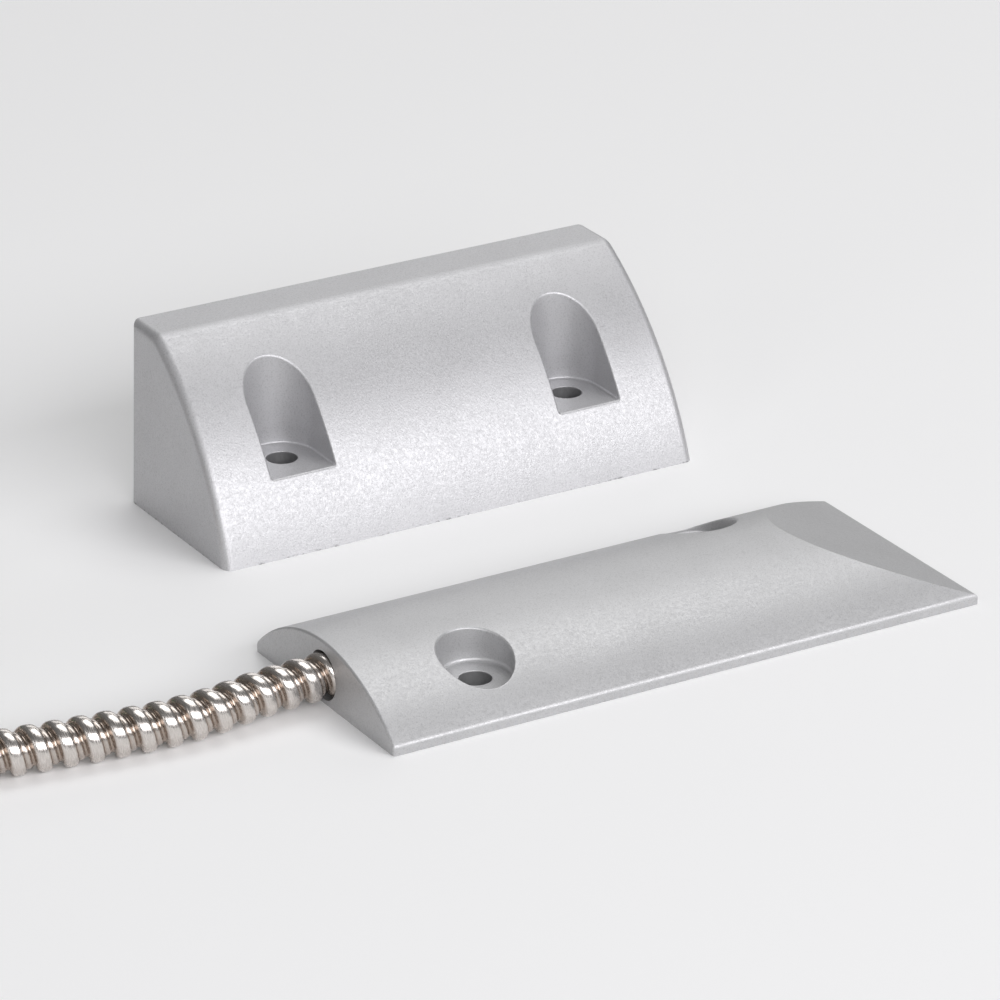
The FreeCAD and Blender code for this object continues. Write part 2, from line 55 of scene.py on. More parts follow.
# Switch housing, in millimetres: the overall sizes come from the frame.
SWITCH_LOW, SWITCH_HIGH = (Vector(corner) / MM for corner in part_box("switch_housing"))
SWITCH_LONG = SWITCH_HIGH.x - SWITCH_LOW.x
SWITCH_WIDE = SWITCH_HIGH.y - SWITCH_LOW.y
SWITCH_TALL = SWITCH_HIGH.z
SWITCH_LAND = 1.46
SWITCH_ARC = ((SWITCH_TALL - SWITCH_LAND) ** 2 + SWITCH_WIDE ** 2 / 4) / (2 * (SWITCH_TALL - SWITCH_LAND))
RAMP_LONG = 23.4
SWITCH_WALL = 1.7
SIDE_MARGIN = 2.6
END_WALL = 3.0
SWITCH_SCREWS = ((-32.7, -11.3), (21.6, 11.3))
BORE = 5.0
SEAT_WIDE = 11.7
SEAT_FLOOR = 4.0
SEAT_FILLET = 0.7
SEAT_ROUND = 0.36
BORE_ROUND = 0.3
LAND_ROUND = 0.45
FAR_END_ROUND = 0.22
BOSS_WALL = 1.6
CABLE_HIGH = 4.6
CABLE_SLACK = 0.3

# Magnet housing, in millimetres.
MAGNET_LOW, MAGNET_HIGH = (Vector(corner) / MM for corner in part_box("magnet_housing"))
MAGNET_X = (MAGNET_LOW.x + MAGNET_HIGH.x) / 2
MAGNET_BACK = MAGNET_HIGH.y
MAGNET_LONG = MAGNET_HIGH.x - MAGNET_LOW.x
MAGNET_DEEP = MAGNET_HIGH.y - MAGNET_LOW.y
MAGNET_TALL = MAGNET_HIGH.z
MAGNET_FLAT = 8.3
MAGNET_ROUND = 56.7
MAGNET_DRAFT = 1.0
MAGNET_WALL = 2.2
CORNER_ROUND = 1.6
CREASE_ROUND = 1.0
POCKET_PITCH = 53.5
POCKET_WIDE = 11.7
POCKET_FLOOR = 11.5
POCKET_BACK = 20.6
POCKET_WALL = 2.0
POCKET_FILLET = 0.4
POCKET_ROUND = 0.3
MAGNET_HOLES = [(MAGNET_X + side * POCKET_PITCH / 2, MAGNET_BACK - POCKET_BACK) for side in (-1, 1)]

# Mesh making, in millimetres.  A blank reaches BELOW the base before it is cut off there.  Points of a
# hole's wall that are nearer than MERGE_GAP are merged, and a point within CLOSE of a place lies on it.
# CUT_GAP is in metres: a point that near to a cut's plane is on the plane.
BELOW = 5.0
HOLE_MARGIN = 1.2
MERGE_GAP = 0.16
CLOSE = 0.01
CUT_GAP = 1e-7

# How many sides round things have.  With these two counts of facets for the round tops, the outermost
# points of the holes fall inside a facet.
SWITCH_FACETS = 178
MAGNET_FACETS = 294
SEAT_SIDES = 72
BORE_SIDES = 48
ARMOUR_SIDES = 28

# Cords, in millimetres and degrees.  The cable's points are from the middle of the switch's near end, and
# the leads' are from the coil's centre.
ARMOUR_WIDE = 7.3
ARMOUR_PITCH = 4.0
COIL_RADIUS = 43.5
COIL_AWAY = 93.5
COIL_Y = 48.5
COIL_STEP = 7.7
COIL_TURN = 610.0
COIL_POINTS = 41
COIL_CLIMB = (285.0, 345.0)
COIL_SKIN = 0.15
TRACK_STEP = 0.3
TIE_ANGLES = (180.0, 90.0)
TIE_WIDE = 3.5
TIE_THICK = 0.8
WIRE_WIDE = 1.5
CORE_WIDE = 0.7
TIP_LONG = 6.0
TIP_TUCK = 0.4
STRANDS = 7
STRAND_TURNS = 0.8
STRAND_POINTS = 25
FERRULE_LONG = 9.0
FERRULE_GRIP = 4.6
MOUTH = Vector((SWITCH_LOW.x, 0, 0))
COIL_CENTRE = Vector((SWITCH_LOW.x - COIL_AWAY, COIL_Y, 0))
COIL_END = math.radians(-90 - COIL_TURN)
ARMOUR_ROUTE = [(6.0, 0.0, 4.6), (-8.0, 0.0, 4.6), (-22.5, -1.7, 3.75), (-39.0, 0.2, 3.7),
                (-55.5, 2.9, 3.75), (-74.0, 5.0, 4.6)]
LEAD_ROUTES = {
    "common": [(42.25, 11.12, 12.3), (46.35, -0.16, 12.2), (43.0, -11.0, 11.6), (34.5, -18.0, 10.2),
               (25.0, -21.0, 4.4), (16.5, -19.9, 1.0), (8.5, -15.5, 0.85)],
    "open": [(40.46, 10.47, 12.3), (44.56, -0.81, 12.2), (40.4, -9.5, 11.5), (32.0, -14.5, 9.6),
             (22.5, -14.5, 3.8), (14.5, -11.5, 1.0), (7.5, -6.0, 0.85)],
    "closed": [(44.04, 11.77, 12.3), (48.14, 0.49, 12.2), (45.6, -12.5, 11.9), (37.4, -22.1, 11.2),
               (26.5, -26.5, 9.6), (17.0, -28.0, 3.4), (8.5, -26.7, 0.95), (1.5, -23.0, 0.85)],
}
LEAD_SLOTS = {"common": "insulation_black", "open": "insulation_white", "closed": "insulation_green"}

# Studio, in metres and watts.  Each light is (name, place, size, power, colour).
FLOOR_WIDE = 6.0
FLOOR_TONE = 0.96
AIR_STRENGTH = 0.18
WHITE = (1.0, 1.0, 1.0)
LIGHT_AIM = Vector((0, 0.03, 0))
LIGHTS = (
    ("front_box", Vector((0.05, -1.5, 0.9)), (2.8, 0.8), 33, (0.985, 0.98, 1.0)),
    ("left_strip", Vector((-1.5, -0.62, 0.56)), (0.16, 0.9), 1.6, WHITE),
    ("top_box", Vector((0.45, 0.3, 1.3)), (1.0, 0.8), 6, WHITE),
    ("back_box", Vector((1.1, 1.7, 1.0)), (1.4, 0.8), 4.4, WHITE),
)


# Small tools ------------------------------------------------------------------------------------
def clear_selection():
    for thing in list(bpy.context.selected_objects):
        thing.select_set(False)


def only(thing):
    """Select one object and make it the active one."""
    clear_selection()
    thing.select_set(True)
    bpy.context.view_layer.objects.active = thing


def new_object(name, data):
    """Put a mesh, curve, light or camera in the scene."""
    thing = bpy.data.objects.new(name, data)
    bpy.context.scene.collection.objects.link(thing)
    return thing


def settle(thing):
    """Put a piece's place into its mesh, so that its object stands at the origin."""
    only(thing)
    bpy.ops.object.transform_apply(location=True, rotation=True, scale=True)
    return thing


def block(name, low, high):
    """A block between two corners, in millimetres."""
    low, high = Vector(low), Vector(high)
    clear_selection()
    bpy.ops.mesh.primitive_cube_add(size=1, location=(low + high) / 2 * MM, scale=(high - low) * MM)
    thing = bpy.context.object
    thing.name = name
    return settle(thing)


def rod(name, wide, start, end, sides=64):
    """A round bar from one point to another, in millimetres."""
    start, end = Vector(start), Vector(end)
    clear_selection()
    bpy.ops.mesh.primitive_cylinder_add(vertices=sides, radius=wide / 2 * MM,
                                        depth=(end - start).length * MM,
                                        location=(start + end) / 2 * MM,
                                        rotation=(end - start).to_track_quat("Z", "Y").to_euler())
    thing = bpy.context.object
    thing.name = name
    return settle(thing)


def apply_modifier(thing, kind, **facts):
    only(thing)
    step = thing.modifiers.new(kind.lower(), kind)
    for name, value in facts.items():
        setattr(step, name, value)
    bpy.ops.object.modifier_apply(modifier=step.name)


def shape(thing, how, *tools):
    """Cut, join or intersect a piece with others, which are used up."""
    for tool in tools:
        apply_modifier(thing, "BOOLEAN", operation=how, object=tool, solver="EXACT")
        bpy.data.objects.remove(tool, do_unlink=True)
    return thing


def edit(thing, kind, pick):
    """Open a piece in edit mode with only the picked points (VERT) or edges (EDGE) selected."""
    only(thing)
    bpy.ops.object.mode_set(mode="EDIT")
    bpy.ops.mesh.select_mode(type=kind)
    bpy.ops.mesh.select_all(action="DESELECT")
    mesh = bmesh.from_edit_mesh(thing.data)
    picked = [part for part in (mesh.verts if kind == "VERT" else mesh.edges) if pick(part)]
    for part in picked:
        part.select = True
    mesh.select_flush(True)
    bmesh.update_edit_mesh(thing.data)
    return len(picked)


def round_edges(thing, width, steps, pick_edges):
    """Round the picked edges over to a width in millimetres."""
    count = edit(thing, "EDGE", pick_edges)
    if count:
        bpy.ops.mesh.bevel(offset=width * MM, segments=steps, profile=0.5, affect="EDGES",
                           clamp_overlap=False, miter_outer="SHARP")
    bpy.ops.object.mode_set(mode="OBJECT")
    if not count:
        raise RuntimeError(thing.name + " has no such edge")
    return thing


def sharp(edge, degrees=25.0):
    return len(edge.link_faces) == 2 and edge.calc_face_angle(0) > math.radians(degrees)


def ends_of(edge):
    """Both ends of an edge, in millimetres."""
    return [v.co / MM for v in edge.verts]


def level_at(z):
    """What picks the edges that lie level at a height in millimetres."""
    return lambda edge: all(abs(v.z - z) < CLOSE for v in ends_of(edge))


def tidy_mesh(thing, gap=0.004):
    """Merge doubles, drop slivers and turn the faces outwards."""
    only(thing)
    bpy.ops.object.mode_set(mode="EDIT")
    bpy.ops.mesh.select_mode(type="VERT")
    bpy.ops.mesh.select_all(action="SELECT")
    bpy.ops.mesh.remove_doubles(threshold=gap * MM)
    bpy.ops.mesh.dissolve_degenerate(threshold=gap * MM)
    bpy.ops.mesh.select_all(action="SELECT")
    bpy.ops.mesh.normals_make_consistent(inside=False)
    bpy.ops.object.mode_set(mode="OBJECT")
    return thing


def merge_near(thing, gap, pick_points):
    """Merge those of the picked points that are nearer than a gap in millimetres."""
    edit(thing, "VERT", lambda v: pick_points(v.co / MM))
    bpy.ops.mesh.remove_doubles(threshold=gap * MM)
    bpy.ops.object.mode_set(mode="OBJECT")
    return thing


def smooth(thing, degrees=32.0):
    only(thing)
    bpy.ops.object.shade_smooth_by_angle(angle=math.radians(degrees), keep_sharp_edges=True)
    apply_modifier(thing, "WEIGHTED_NORMAL", keep_sharp=True, weight=80)
    return thing


def piece(thing, body, slot, finish, *nodes):
    """Hand a finished piece to its body, with its finish and the nodes that it stands for."""
    thing.data.materials.clear()
    thing.data.materials.append(finish)
    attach(thing, body)
    if nodes:
        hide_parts(*nodes)
    return thing


# Finishes ---------------------------------------------------------------------------------------
# The sockets of a Mix node that it uses for colours.
MIX_FACTOR, MIX_FIRST, MIX_SECOND, MIX_RESULT = 0, 6, 7, 2

# A noise keeps mostly between these two values.
NOISE_LOW, NOISE_HIGH = 0.3, 0.7


class Finish:
    """A procedural finish on a Principled shader, with short ways to add patterns to it."""

    def __init__(self, name, colour, metallic=0.0, roughness=0.5, coords="Object", **sockets):
        self.material = bpy.data.materials.new(name)
        self.material.use_nodes = True
        self.tree = self.material.node_tree
        self.shader = self.tree.nodes["Principled BSDF"]
        self.set(self.shader, "Base Color", (*colour, 1.0))
        self.set(self.shader, "Metallic", metallic)
        self.set(self.shader, "Roughness", roughness)
        for socket, value in sockets.items():
            self.set(self.shader, socket.replace("_", " "), value)
        self.coords = self.tree.nodes.new("ShaderNodeTexCoord").outputs[coords]
        self.height = None

    @staticmethod
    def set(node, socket, value):
        node.inputs[socket].default_value = value

    def link(self, start, end):
        self.tree.links.new(start, end)

    def split(self):
        """The coordinates one by one."""
        node = self.tree.nodes.new("ShaderNodeSeparateXYZ")
        self.link(self.coords, node.inputs["Vector"])
        return node.outputs

    def stretched(self, scale):
        """The coordinates scaled by a vector, for streaks."""
        mapping = self.tree.nodes.new("ShaderNodeMapping")
        mapping.inputs["Scale"].default_value = scale
        self.link(self.coords, mapping.inputs["Vector"])
        return mapping.outputs["Vector"]

    def noise(self, size, detail=2.0, roughness=0.5, stretch=None):
        """A noise with spots of about size millimetres."""
        node = self.tree.nodes.new("ShaderNodeTexNoise")
        self.set(node, "Scale", 1.0 / (size * MM))
        self.set(node, "Detail", detail)
        self.set(node, "Roughness", roughness)
        self.link(self.stretched(stretch) if stretch else self.coords, node.inputs["Vector"])
        return node.outputs["Fac"]

    def ramp(self, factor, *stops):
        """A colour ramp: each stop is (place, value or colour)."""
        node = self.tree.nodes.new("ShaderNodeValToRGB")
        self.link(factor, node.inputs["Fac"])
        stack = node.color_ramp.elements
        while len(stack) < len(stops):
            stack.new(0.5)
        for element, (place, value) in zip(stack, stops):
            element.position = place
            element.color = (*value, 1.0) if hasattr(value, "__len__") else (value, value, value, 1.0)
        return node.outputs["Color"]

    def blend(self, factor, first, second, how="MIX"):
        """Mix two colours; each may be a colour or a socket."""
        node = self.tree.nodes.new("ShaderNodeMix")
        node.data_type = "RGBA"
        node.blend_type = how
        for place, value in ((MIX_FACTOR, factor), (MIX_FIRST, first), (MIX_SECOND, second)):
            if isinstance(value, bpy.types.NodeSocket):
                self.link(value, node.inputs[place])
            elif hasattr(value, "__len__"):
                node.inputs[place].default_value = (*value, 1.0)
            else:
                node.inputs[place].default_value = value
        return node.outputs[MIX_RESULT]

    def paint(self, colour):
        self.link(colour, self.shader.inputs["Base Color"])

    def roughen(self, factor, low, high):
        """Let a noise carry the roughness from low to high."""
        node = self.tree.nodes.new("ShaderNodeMapRange")
        self.set(node, "From Min", NOISE_LOW)
        self.set(node, "From Max", NOISE_HIGH)
        self.set(node, "To Min", low)
        self.set(node, "To Max", high)
        self.link(factor, node.inputs["Value"])
        self.link(node.outputs["Result"], self.shader.inputs["Roughness"])

    def bump(self, height, deep):
        """Raise the surface by up to deep millimetres; several calls stack."""
        node = self.tree.nodes.new("ShaderNodeBump")
        self.set(node, "Strength", 1.0)
        self.set(node, "Distance", deep * MM)
        self.link(height, node.inputs["Height"])
        if self.height:
            self.link(self.height, node.inputs["Normal"])
        self.height = node.outputs["Normal"]
        self.link(self.height, self.shader.inputs["Normal"])

    def maths(self, how, first, second):
        """Work out one sum of two values; each may be a number or a socket."""
        node = self.tree.nodes.new("ShaderNodeMath")
        node.operation = how
        for spot, value in enumerate((first, second)):
            if isinstance(value, bpy.types.NodeSocket):
                self.link(value, node.inputs[spot])
            else:
                node.inputs[spot].default_value = value
        return node.outputs["Value"]

    def column(self, x, y, radius, high):
        """1 inside an upright column up to a height, and 0 elsewhere, in millimetres."""
        spot = self.split()
        along = self.maths("POWER", self.maths("SUBTRACT", spot["X"], x * MM), 2.0)
        across = self.maths("POWER", self.maths("SUBTRACT", spot["Y"], y * MM), 2.0)
        inside = self.maths("LESS_THAN", self.maths("ADD", along, across), (radius * MM) ** 2)
        return self.maths("MULTIPLY", inside, self.maths("LESS_THAN", spot["Z"], high * MM))

    def foot(self, high):
        """1 at the floor, fading to 0 at a height in millimetres."""
        node = self.tree.nodes.new("ShaderNodeMapRange")
        self.set(node, "From Min", high * MM)
        self.set(node, "From Max", 0.0)
        self.link(self.split()["Z"], node.inputs["Value"])
        return node.outputs["Result"]


def shade(tone, share):
    """A colour made darker or lighter."""
    return [min(c * share, 1) for c in tone]


def silver_paint(name, grain, grain_deep, tone, holes, floor, foot=0.0):
    """Sprayed silver lacquer on a die casting: sandy grain over a soft orange peel, rubbed at the foot.

    The bores below the floors of their seats are darkened to half the tone with painted shade, for the
    shadow inside them."""
    finish = Finish(name, tone, metallic=0.6, roughness=0.46, Specular_IOR_Level=0.5)
    cloud = finish.noise(9.0, 3.0)
    fleck = finish.noise(grain * 0.8, 1.5, 0.6)
    body = finish.ramp(cloud, (0.3, shade(tone, 0.975)), (0.7, shade(tone, 1.025)))
    flecked = finish.ramp(fleck, (0.3, 0.82), (0.47, 0.97), (0.66, 1.0))
    coat = finish.blend(1.0, body, flecked, "MULTIPLY")
    if foot:
        gap = finish.ramp(finish.noise(0.9, 3.0), (0.56, 0.0), (0.66, 1.0))
        worn = finish.blend(1.0, finish.foot(foot), gap, "MULTIPLY")
        coat = finish.blend(worn, coat, shade(tone, 0.35))
    # Painted shade: each bore below its seat's floor is darkened to half the paint's tone.
    for x, y in holes:
        bore_shade = finish.column(x, y, BORE / 2 + 0.12, floor - 0.15)
        coat = finish.blend(bore_shade, coat, shade(tone, 0.5))
    finish.paint(coat)
    finish.roughen(finish.noise(0.5, 2.0), 0.4, 0.54)
    finish.bump(finish.noise(1.6, 2.0), 0.012)
    finish.bump(finish.noise(grain, 2.5, 0.6), grain_deep)
    return finish.material


def armour_steel():
    """Bright wound stainless strip: fine draw lines along the winding, brown painted shade in the groove.
    """
    finish = Finish("armour_steel", (0.7, 0.67, 0.64), metallic=1.0, roughness=0.2, coords="UV")
    lines = finish.tree.nodes.new("ShaderNodeTexNoise")
    finish.set(lines, "Scale", 1.0)
    finish.set(lines, "Detail", 3.0)
    finish.link(finish.stretched((0.8, 26.0, 1.0)), lines.inputs["Vector"])
    # Painted shade: the deep groove of each pitch is darkened brown by its place across the strip.
    groove_shade = finish.ramp(finish.split()["Y"], (0.0, 0.5), (0.09, 0.0), (0.48, 0.0), (0.6, 0.8),
                        (0.72, 0.8), (0.82, 0.35), (0.9, 0.4), (0.99, 0.8))
    steel = finish.ramp(lines.outputs["Fac"], (0.3, (0.6, 0.56, 0.525)), (0.7, (0.77, 0.73, 0.7)))
    finish.paint(finish.blend(groove_shade, steel, (0.32, 0.25, 0.2)))
    finish.roughen(lines.outputs["Fac"], 0.18, 0.32)
    finish.bump(lines.outputs["Fac"], 0.006)
    return finish.material


def plain_metal(name, tone, roughness, grain=0.4, deep=0.004, stretch=None):
    """Bare metal with a fine mottle, drawn out into lines where stretch is given."""
    finish = Finish(name, tone, metallic=1.0, roughness=roughness)
    drawn = finish.noise(grain, 3.0, stretch=stretch)
    finish.paint(finish.ramp(drawn, (0.3, shade(tone, 0.82)), (0.7, shade(tone, 1.06))))
    finish.roughen(drawn, roughness * 0.75, roughness * 1.3)
    finish.bump(drawn, deep)
    return finish.material


def plain_plastic(name, tone, roughness, grain=0.7, deep=0.01, **sockets):
    """Moulded plastic, laminate or glass with a faint mottle of colour and gloss."""
    finish = Finish(name, tone, roughness=roughness, **sockets)
    mottle = finish.noise(grain, 3.0)
    finish.paint(finish.ramp(mottle, (0.25, shade(tone, 0.88)), (0.75, shade(tone, 1.1))))
    finish.roughen(mottle, roughness * 0.85, roughness * 1.2)
    finish.bump(mottle, deep)
    return finish.material


def epoxy_fill():
    """Poured black epoxy: nearly flat, with a few pinholes and a faint haze."""
    finish = Finish("epoxy_fill", (0.022, 0.022, 0.024), roughness=0.35)
    haze = finish.noise(7.0, 4.0)
    finish.paint(finish.ramp(haze, (0.3, (0.016, 0.016, 0.018)), (0.72, (0.045, 0.045, 0.048))))
    finish.roughen(haze, 0.26, 0.5)
    finish.bump(finish.noise(5.0, 1.0), 0.06)
    finish.bump(finish.ramp(finish.noise(0.9, 1.0), (0.24, 0.0), (0.3, 1.0)), 0.05)
    return finish.material


def ferrite():
    """Sintered ferrite: matt dark grey with a coarse pressed grain."""
    finish = Finish("magnet_ferrite", (0.055, 0.055, 0.058), roughness=0.7)
    grain = finish.noise(0.5, 5.0, 0.65)
    finish.paint(finish.ramp(grain, (0.3, 0.035), (0.7, 0.085)))
    finish.roughen(grain, 0.6, 0.85)
    finish.bump(grain, 0.03)
    return finish.material


FINISHES = {
    "magnet_silver": silver_paint("magnet_silver", grain=0.3, grain_deep=0.032, tone=(0.57, 0.568, 0.58),
                                  holes=MAGNET_HOLES, floor=POCKET_FLOOR, foot=0.35),
    "switch_silver": silver_paint("switch_silver", grain=0.26, grain_deep=0.016, tone=(0.55, 0.55, 0.556),
                                  holes=SWITCH_SCREWS, floor=SEAT_FLOOR),
    "armour_steel": armour_steel(),
    "epoxy_fill": epoxy_fill(),
    "magnet_ferrite": ferrite(),
    "reed_glass": plain_plastic("reed_glass", (0.36, 0.52, 0.42), 0.08, 2.5, 0.002,
                                Transmission_Weight=0.85, IOR=1.5),
    "contact_metal": plain_metal("contact_metal", (0.62, 0.6, 0.56), 0.3),
    "board_laminate": plain_plastic("board_laminate", (0.09, 0.2, 0.08), 0.5, 0.6, 0.02),
    "solder_metal": plain_metal("solder_metal", (0.7, 0.7, 0.7), 0.32, 0.9, 0.02),
    "tinned_copper": plain_metal("tinned_copper", (0.8, 0.74, 0.66), 0.28, 0.25),
    "insulation_black": plain_plastic("insulation_black", (0.02, 0.02, 0.021), 0.38),
    "insulation_white": plain_plastic("insulation_white", (0.78, 0.77, 0.73), 0.4),
    "insulation_green": plain_plastic("insulation_green", (0.03, 0.24, 0.08), 0.38),
    "plate_steel": plain_metal("plate_steel", (0.56, 0.55, 0.53), 0.36, 0.3, stretch=(1, 1, 8)),
    "bushing_nylon": plain_plastic("bushing_nylon", (0.5, 0.035, 0.03), 0.45),
    "tie_nylon": plain_plastic("tie_nylon", (0.03, 0.03, 0.031), 0.46, 0.5, 0.014),
    "ferrule_brass": plain_metal("ferrule_brass", (0.78, 0.62, 0.34), 0.24, 0.3),
}


# Switch housing ---------------------------------------------------------------------------------
def cut_flat(thing, place, way):
    """Cut off all that lies beyond a plane, and close the cut."""
    only(thing)
    bpy.ops.object.mode_set(mode="EDIT")
    bpy.ops.mesh.select_all(action="SELECT")
    bpy.ops.mesh.bisect(plane_co=Vector(place) * MM, plane_no=Vector(way).normalized(), use_fill=True,
                        clear_outer=True, threshold=CUT_GAP)
    bpy.ops.object.mode_set(mode="OBJECT")
    return thing


def turn_facets(bar, y, z, angle):
    """Turn a bar that lies along X, so that one of its facets begins at an angle about (y, z)."""
    first = bar.data.vertices[0].co / MM
    turn = Matrix.Rotation(angle - math.atan2(first.z - z, first.y - y), 4, "X")
    middle = Matrix.Translation(Vector((0, y, z)) * MM)
    bar.data.transform(middle @ turn @ middle.inverted())


def cut_across(thing, *places):
    """Cut a piece along planes across X, taking nothing off, so that long faces end near a hole."""
    only(thing)
    bpy.ops.object.mode_set(mode="EDIT")
    for x in places:
        bpy.ops.mesh.select_all(action="SELECT")
        bpy.ops.mesh.bisect(plane_co=(x * MM, 0, 0), plane_no=(1, 0, 0), threshold=CUT_GAP)
    bpy.ops.object.mode_set(mode="OBJECT")
    return thing


def beside(places, wide):
    """The places a little to each side of some holes, along X."""
    return [x + side * (wide / 2 + HOLE_MARGIN) for x in places for side in (-1, 1)]


def under_arc(name, long, wide, drop):
    """A block under the switch's round top, with the top lowered by drop; it reaches below the base."""
    thing = block(name, (-long / 2, -wide / 2, -BELOW), (long / 2, wide / 2, SWITCH_TALL - drop))
    centre = SWITCH_TALL - SWITCH_ARC
    top = rod(name + "_arc", 2 * (SWITCH_ARC - drop), (-SWITCH_LONG, 0, centre), (SWITCH_LONG, 0, centre),
              SWITCH_FACETS)
    turn_facets(top, 0, centre, math.pi / 2 + math.pi / SWITCH_FACETS)
    return shape(thing, "INTERSECT", top)


def slope_off(thing, drop):
    """Cut the far end down along the ramp, and the foot off along the base."""
    rise = SWITCH_TALL - SWITCH_LAND
    cut_flat(thing, (SWITCH_LONG / 2, 0, SWITCH_LAND - drop), (rise, 0, RAMP_LONG))
    return cut_flat(thing, (0, 0, 0), (0, 0, -1))


def seat_tool(x, y):
    """The shape of a screw's seat: round, with its floor's edge rounded."""
    tool = rod("seat_tool", SEAT_WIDE, (x, y, SEAT_FLOOR), (x, y, 2 * SWITCH_TALL), SEAT_SIDES)
    return round_edges(tool, SEAT_FILLET, 4, level_at(SEAT_FLOOR))


def switch_shell():
    """The switch's casting: round top, land, ramp, two screw seats, cable hole and the room inside."""
    end = SWITCH_LONG / 2

    def near_end(edge):
        return sharp(edge) and all(abs(v.x + end) < CLOSE for v in ends_of(edge))

    def land_line(edge):
        first, last = ends_of(edge)
        return level_at(SWITCH_LAND)(edge) and abs(first.x - last.x) > end and sharp(edge)

    def far_end(edge):
        ends = ends_of(edge)
        return sharp(edge) and all(abs(v.x - end) < CLOSE for v in ends) and max(v.z for v in ends) > 0.1

    def at_screw(v, radius):
        return min(abs(math.hypot(v.x - x, v.y - y) - radius) for x, y in SWITCH_SCREWS) < 2 * CLOSE

    def seat_rim(edge):
        ends = ends_of(edge)
        above = min(v.z for v in ends) > SEAT_FLOOR + SEAT_FILLET + 0.05
        return above and all(at_screw(v, SEAT_WIDE / 2) for v in ends) and sharp(edge)

    def seat_wall(v):
        return v.z > SEAT_FLOOR + SEAT_FILLET + 0.1 and at_screw(v, SEAT_WIDE / 2)

    def bore_rim(edge):
        near = all(at_screw(v, BORE / 2) for v in ends_of(edge))
        return near and level_at(SEAT_FLOOR)(edge) and sharp(edge)

    def ridge(edge):
        ends = ends_of(edge)
        slope = (SWITCH_TALL - SWITCH_LAND) / RAMP_LONG
        on_ramp = all(abs(v.z - SWITCH_LAND - (end - v.x) * slope) < 2 * CLOSE for v in ends)
        return on_ramp and max(v.x for v in ends) < end - 0.5 and sharp(edge, 5)

    shell = under_arc("switch_shell", SWITCH_LONG, SWITCH_WIDE, 0)
    round_edges(shell, LAND_ROUND, 4, lambda edge: near_end(edge) or land_line(edge))
    tidy_mesh(slope_off(shell, 0), 0.08)
    cut_across(shell, *beside([x for x, _ in SWITCH_SCREWS], SEAT_WIDE))
    room = slope_off(under_arc("switch_room", SWITCH_LONG - 2 * END_WALL, SWITCH_WIDE - 2 * SIDE_MARGIN,
                               SWITCH_WALL), SWITCH_WALL)
    for x, y in SWITCH_SCREWS:
        foot, top = (x, y, -1), (x, y, SWITCH_TALL)
        shape(room, "DIFFERENCE", rod("boss", SEAT_WIDE + 2 * BOSS_WALL, foot, top, SEAT_SIDES))
        shape(shell, "DIFFERENCE", seat_tool(x, y), rod("bore", BORE, foot, top, BORE_SIDES))
    hole = rod("cable_hole", ARMOUR_WIDE + 2 * CABLE_SLACK, (-end - END_WALL, 0, CABLE_HIGH),
               (-end + END_WALL, 0, CABLE_HIGH))
    tidy_mesh(shape(shell, "DIFFERENCE", room, hole), 0.02)
    round_edges(shell, SEAT_ROUND, 3, seat_rim)
    merge_near(shell, MERGE_GAP, seat_wall)
    round_edges(shell, BORE_ROUND, 2, bore_rim)
    round_edges(shell, FAR_END_ROUND, 3, far_end)
    tidy_mesh(shell)
    edit(shell, "EDGE", ridge)
    bpy.ops.mesh.mark_sharp()
    bpy.ops.object.mode_set(mode="OBJECT")
    return smooth(shell)


# Magnet housing ---------------------------------------------------------------------------------
def front_axis():
    """The middle of the front's round, in Y and Z."""
    chord = math.hypot(MAGNET_DEEP - MAGNET_FLAT, MAGNET_TALL)
    reach = math.sqrt(MAGNET_ROUND ** 2 - chord ** 2 / 4)
    return (MAGNET_BACK + reach * MAGNET_TALL / chord - (MAGNET_DEEP + MAGNET_FLAT) / 2,
            MAGNET_TALL / 2 - reach * (MAGNET_DEEP - MAGNET_FLAT) / chord)


def drafted_front(name, inset, short=0):
    """The magnet's outer shape, or the room in it: leaning ends under a round front."""
    long = MAGNET_LONG - 2 * inset - 2 * short
    back = MAGNET_BACK - inset
    front = MAGNET_LOW.y - BELOW
    high = MAGNET_TALL - inset
    thing = block(name, (MAGNET_X - long / 2, front, -BELOW), (MAGNET_X + long / 2, back, high))
    for v in thing.data.vertices:
        side = math.copysign(1, v.co.x / MM - MAGNET_X)
        v.co.x -= side * MAGNET_DRAFT * v.co.z / high
    y, z = front_axis()
    far = 1.5 * MAGNET_LONG
    radius = MAGNET_ROUND - inset
    curve = rod(name + "_arc", 2 * radius, (MAGNET_X - far, y, z), (MAGNET_X + far, y, z), MAGNET_FACETS)
    turn_facets(curve, y, z, math.pi - math.asin((high - z) / radius))
    return tidy_mesh(shape(thing, "INTERSECT", curve), 0.05)


def pocket_tool(x, wall, floor, fillet):
    """A column with a round back, drawn forward out of the front."""
    y = MAGNET_BACK - POCKET_BACK
    tool = rod("pocket_tool", POCKET_WIDE + 2 * wall, (x, y, floor), (x, y, 2 * MAGNET_TALL))
    edit(tool, "EDGE", lambda edge: all(v.co.y < (y - CLOSE) * MM for v in edge.verts))
    bpy.ops.transform.translate(value=(0, -MAGNET_DEEP * MM, 0))
    bpy.ops.object.mode_set(mode="OBJECT")
    if fillet:
        round_edges(tool, fillet, 4, level_at(floor))
    return tool


